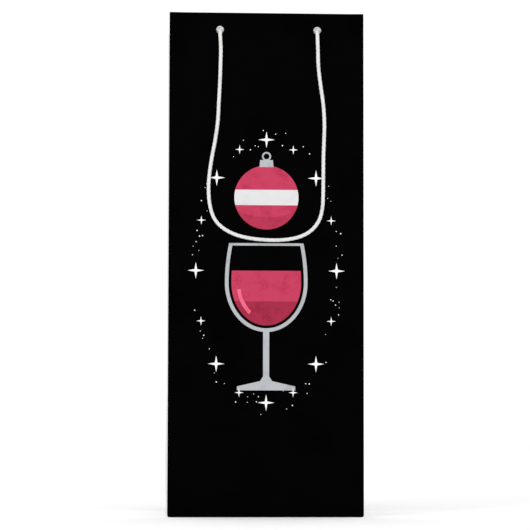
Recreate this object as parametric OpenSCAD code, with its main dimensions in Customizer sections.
// Paper wine gift bag: one folded and glued paper sheet with side gussets, card stiffeners
// in the turned-over mouth, a loose card base and two knotted cord handles.
// Frame: +Z up, the printed front faces -Y, origin at the centre of the base on the floor.

/* [Bag] */
// Width of the front and back panels
bag_w = 127; // [100:1:180]
// Depth of a side gusset pulled out flat, from the front corner to the rear corner
bag_d = 89; // [80:1:120]
// Height from the floor to the folded top edge
bag_h = 330; // [280:1:400]
// Thickness of the laminated paper
paper_t = 0.35; // [0.25:0.05:0.4]
// Angle by which each half of a gusset leans inwards while the bag stands open
gusset_lean = 5; // [2:0.5:6]

/* [Turned-over mouth] */
// Height of the paper turned inwards at the mouth
hem_h = 32; // [28:1:45]
// Thickness of the card stiffener inside the front and back turn-over
card_t = 1; // [0.8:0.1:1.2]
// Gap between the stiffener and each corner crease
card_margin = 7; // [7:0.5:12]

/* [Base] */
// Overlap of the two long base flaps past the middle of the base
flap_overlap = 10; // [6:1:14]
// Thickness of the loose base card
board_t = 1; // [0.8:0.1:1.5]

/* [Cord handles] */
// Diameter of the cord
cord_d = 2.4; // [2.4:0.1:3]
// Diameter of the punched cord holes
hole_d = 5.1; // [4.8:0.1:6]
// Distance between the two holes of a handle
hole_spacing = 64; // [56:1:68]
// Sideways offset of both handles from the middle of the panel
hole_shift = 1.3; // [-2:0.1:2]
// Distance from the top edge down to the hole centres
hole_drop = 11.5; // [9:0.1:14]

/* [Hidden] */

gusset_half = bag_d / 2;
// Half the inside depth of the standing bag: each corner crease turns on the inner face of
// its panel, and each centre crease turns on the outer face of the gusset.
half_depth = gusset_half * cos(gusset_lean) + paper_t * sin(gusset_lean);
// How far the centre crease of a gusset stands in from the corner creases, on the inner face
crease_inset = gusset_half * sin(gusset_lean);
crease_gap = 0.15;        // between two facets that fold over a common crease

hem_setback = 1.5;        // between a gusset's turn-over and its creases
hem_inner = card_t + paper_t; // from a panel's inner face to its turn-over's inner face
card_step = 1;            // between the lower edges of the turn-over and the stiffener
seam_w = 15;
seam_setback = 1.6;       // between the seam flap and the corner crease
seam_top_gap = 2;         // between the seam flap and the turn-over above it

flap_clear = 0.15;        // unit of clearance round the base flaps
flap_depth = half_depth + flap_overlap;
side_flap_reach = 40;     // how far a side flap runs in from its crease
board_gap = 0.4;          // between the base card and the walls
board_head = 0.2;         // from the base card up to the top of the base's crease bands
// The folded base and its card stay below this height; the gussets and the back panel, which
// fold in over them, start just above it.
base_h = 3 * paper_t + board_t + board_head;
wall_z = base_h + crease_gap;

hole_z = bag_h - hole_drop;
hole_x = [hole_shift - hole_spacing / 2, hole_shift + hole_spacing / 2];
cord_r = cord_d / 2;
cord_gap = 0.3;           // between the hanging cord and the panel
rim_gap = 0.15;           // between the cord and the lower rim of its hole
// The cord rests on the lower rim of its hole and turns down just in front of the panel.
pivot_z = hole_z - hole_d / 2 + cord_r + rim_gap;
pivot_y = -(half_depth + paper_t + cord_gap + cord_r);

knot_r = 4;
knot_l = 6;
knot_gap = 0.05;          // between the knot and the turned-over paper
tail_l = 10;
board_r = 2;              // rounded corners of the base card

paper_white = [0.93, 0.93, 0.92];
print_black = [0.02, 0.02, 0.02];
grey_card = [0.62, 0.61, 0.58];
white_card = [0.86, 0.86, 0.84];
cord_white = [0.92, 0.92, 0.91];

// Places a shape drawn at x = 0 on both holes of a panel.
module at_holes() {
    for (x = hole_x) translate([x, 0, 0]) children();
}

// Cord holes through everything between the planes y0 and y1.
module cord_holes(y0, y1) {
    at_holes() translate([0, y1, hole_z]) rotate([90, 0, 0]) cylinder(d = hole_d, h = y1 - y0, $fn = 48);
}

// ---- panels -------------------------------------------------------------------------

// A whole front or back panel, from the height z0 up to the folded top edge.
module wall_panel(z0) {
    difference() {
        translate([-bag_w / 2, -half_depth - paper_t, z0]) cube([bag_w, paper_t, bag_h - z0]);
        cord_holes(-half_depth - 2 * paper_t, -half_depth + paper_t);
    }
}

// Card glued inside the mouth, behind the cord holes.
module stiffener() {
    difference() {
        translate([-bag_w / 2 + card_margin, -half_depth, bag_h - hem_h + card_step])
            cube([bag_w - 2 * card_margin, card_t, hem_h - card_step - paper_t]);
        cord_holes(-half_depth - 1, -half_depth + card_t + 1);
    }
}

// Paper folded inwards over the stiffener: a strip down its inside and a strip across its top.
module wall_hem() {
    hem_w = bag_w - 2 * card_margin;
    difference() {
        translate([-hem_w / 2, -half_depth, 0]) union() {
            translate([0, card_t, bag_h - hem_h]) cube([hem_w, paper_t, hem_h]);
            translate([0, 0, bag_h - paper_t]) cube([hem_w, card_t, paper_t]);
        }
        cord_holes(-half_depth - 1, -half_depth + hem_inner + 1);
    }
}

// ---- gussets ------------------------------------------------------------------------

// Draws in the frame of the left gusset's front half: Y runs from the corner crease to the
// centre crease, the outer face looks along -X and the inner face lies at x = 0.
module on_left_front_half() {
    translate([-bag_w / 2, -half_depth, 0]) rotate([0, 0, -gusset_lean]) children();
}

module gusset_half_plate() {
    color(paper_white) on_left_front_half()
        translate([-paper_t, crease_gap, wall_z])
            cube([paper_t, gusset_half - 2 * crease_gap, bag_h - wall_z]);
}

module gusset_half_hem() {
    color(paper_white) on_left_front_half()
        translate([0, hem_setback, bag_h - hem_h])
            cube([paper_t, gusset_half - 2 * hem_setback, hem_h]);
}

module to_rear() {
    mirror([0, 1, 0]) children();
}

module to_right() {
    mirror([1, 0, 0]) children();
}

// Strip of the sheet's edge glued inside the back panel along the right rear corner.
module seam_flap() {
    color(paper_white)
        translate([bag_w / 2 - seam_setback - seam_w, half_depth - paper_t, wall_z])
            cube([seam_w, paper_t, bag_h - hem_h - seam_top_gap - wall_z]);
}

// ---- base ---------------------------------------------------------------------------

// A long flap: full width at its own panel, with 45 degree ends, in the given paper layer.
module long_flap(layer) {
    y0 = -half_depth + flap_clear;
    x0 = bag_w / 2 - 2 * flap_clear;
    y1 = y0 + flap_depth;
    x1 = x0 - flap_depth;
    translate([0, 0, layer * paper_t]) linear_extrude(paper_t)
        polygon([[-x0, y0], [x0, y0], [x1, y1], [-x1, y1]]);
}

// The back flap with the crease band that carries the back panel.
module back_flap() {
    to_rear() long_flap(1);
    translate([-bag_w / 2 + crease_gap, half_depth - 2 * flap_clear, 0])
        cube([bag_w - 2 * crease_gap, paper_t + 2 * flap_clear, base_h]);
}

// A side flap, folded in from the gusset first, so that it lies above both long flaps, with
// the crease band that carries the two gusset halves.
module side_flap() {
    x0 = -bag_w / 2 + crease_inset + flap_clear;
    y0 = half_depth - 4 * flap_clear;
    translate([0, 0, 2 * paper_t]) linear_extrude(paper_t)
        polygon([[x0 - 2 * flap_clear, -y0], [x0 + side_flap_reach, side_flap_reach - y0],
                 [x0 + side_flap_reach, y0 - side_flap_reach], [x0 - 2 * flap_clear, y0]]);
    side_band();
    to_rear() side_band();
}

module side_band() {
    on_left_front_half() translate([-paper_t, crease_gap, 0])
        cube([paper_t, gusset_half - crease_gap, base_h]);
}

module base_board() {
    w = bag_w - 2 * crease_inset - 2 * board_gap;
    d = 2 * half_depth - 2 * board_gap;
    color(grey_card) translate([0, 0, 3 * paper_t]) linear_extrude(board_t) union() {
        square([w - 2 * board_r, d], center = true);
        square([w, d - 2 * board_r], center = true);
        for (x = [-1, 1], y = [-1, 1])
            translate([x * (w / 2 - board_r), y * (d / 2 - board_r)]) circle(r = board_r, $fn = 32);
    }
}

// ---- cord handles -------------------------------------------------------------------

// Where the front handle hangs, as x and z in mm: down from the left hole, round the loop
// and up to the right hole. It is measured from the middle of the panel and its top edge.
handle_route = [
    [-30.5, -14.9], [-30.2, -24], [-30.4, -36], [-30.8, -48], [-31.4, -60], [-32, -72],
    [-33.6, -84], [-35.8, -96], [-37.5, -108], [-37.9, -118], [-37, -127.5], [-34.2, -136],
    [-28.8, -142], [-20.5, -146.5], [-10, -149], [1, -150], [11.5, -149.8], [21, -148],
    [28.8, -144], [34.2, -137.4], [36.6, -129], [37.1, -119], [37.2, -107], [37.3, -95],
    [37.7, -83], [37.9, -73], [37.2, -61], [35.4, -48], [34, -36], [33.6, -24],
    [33.5, -14.9],
];
tube_sides = 8;

// Catmull-Rom point between p1 and p2, with t from 0 to 1.
function curve_point(p0, p1, p2, p3, t) =
    0.5 * (2 * p1 + (p2 - p0) * t + (2 * p0 - 5 * p1 + 4 * p2 - p3) * t * t
           + (3 * p1 - p0 - 3 * p2 + p3) * t * t * t);

// The route with one more point in the middle of each stretch.
function smooth_route(r) = [
    for (i = [0 : len(r) - 2], half = [0, 1])
        curve_point(r[max(i - 1, 0)], r[i], r[i + 1], r[min(i + 2, len(r) - 1)], half / 2),
    r[len(r) - 1],
];

function unit(v) = v / norm(v);

// One ring of the tube: the route lies in a plane of constant y, so its normal is across y.
function ring(r, i) = let (
        p = r[i],
        d = unit(r[min(i + 1, len(r) - 1)] - r[max(i - 1, 0)]),
        side = [-d[1], 0, d[0]]
    ) [
        for (k = [0 : tube_sides - 1]) let (a = 360 * k / tube_sides)
            [p[0], pivot_y, bag_h + p[1]] + cord_r * (cos(a) * side + sin(a) * [0, 1, 0])
    ];

module handle_cord() {
    r = smooth_route(handle_route);
    n = len(r);
    s = tube_sides;
    points = [for (i = [0 : n - 1]) each ring(r, i)];
    sides = [
        for (i = [0 : n - 2], k = [0 : s - 1])
            [i * s + k, i * s + (k + 1) % s, (i + 1) * s + (k + 1) % s, (i + 1) * s + k],
    ];
    ends = [[for (k = [0 : s - 1]) s - 1 - k], [for (k = [0 : s - 1]) (n - 1) * s + k]];
    color(cord_white) polyhedron(points, concat(sides, ends), convexity = 10);
}

// An overhand knot behind a hole, with the cord that leads out through the hole to the bend
// and the short tail that hangs below the knot.
module knot(x) {
    knot_y = -half_depth + hem_inner + knot_gap;
    color(cord_white) translate([x, 0, pivot_z]) {
        translate([0, knot_y + knot_l, 0]) rotate([90, 0, 0]) cylinder(r = knot_r, h = knot_l, $fn = 48);
        translate([0, knot_y + 1, 0]) rotate([90, 0, 0])
            cylinder(r = cord_r, h = knot_y + 1 - pivot_y, $fn = 32);
        translate([0, pivot_y, 0]) sphere(r = cord_r, $fn = 32);
        translate([0, knot_y + knot_l / 2, -knot_r - tail_l]) cylinder(r = cord_r, h = tail_l + 1, $fn = 32);
    }
}

// ---- nodes --------------------------------------------------------------------------

color(print_black) wall_panel(0);  // front_panel
color(paper_white) wall_hem();  // front_hem
color(white_card) stiffener();  // front_stiffener
knot(hole_x[0]);  // front_knot_left
knot(hole_x[1]);  // front_knot_right
color(paper_white) long_flap(0);  // base_flap_front
color(paper_white) back_flap();  // base_flap_back
color(paper_white) side_flap();  // base_flap_left
color(paper_white) to_right() side_flap();  // base_flap_right
base_board();
gusset_half_plate();  // left_gusset_front
gusset_half_hem();  // left_hem_front
to_rear() gusset_half_plate();  // left_gusset_rear
to_rear() gusset_half_hem();  // left_hem_rear
to_right() gusset_half_plate();  // right_gusset_front
to_right() gusset_half_hem();  // right_hem_front
to_right() to_rear() gusset_half_plate();  // right_gusset_rear
to_right() to_rear() gusset_half_hem();  // right_hem_rear
color(print_black) to_rear() wall_panel(wall_z);  // back_panel
color(paper_white) to_rear() wall_hem();  // back_hem
color(white_card) to_rear() stiffener();  // back_stiffener
to_rear() knot(hole_x[0]);  // back_knot_left
to_rear() knot(hole_x[1]);  // back_knot_right
seam_flap();
handle_cord();  // front_handle_cord
to_rear() handle_cord();  // back_handle_cord
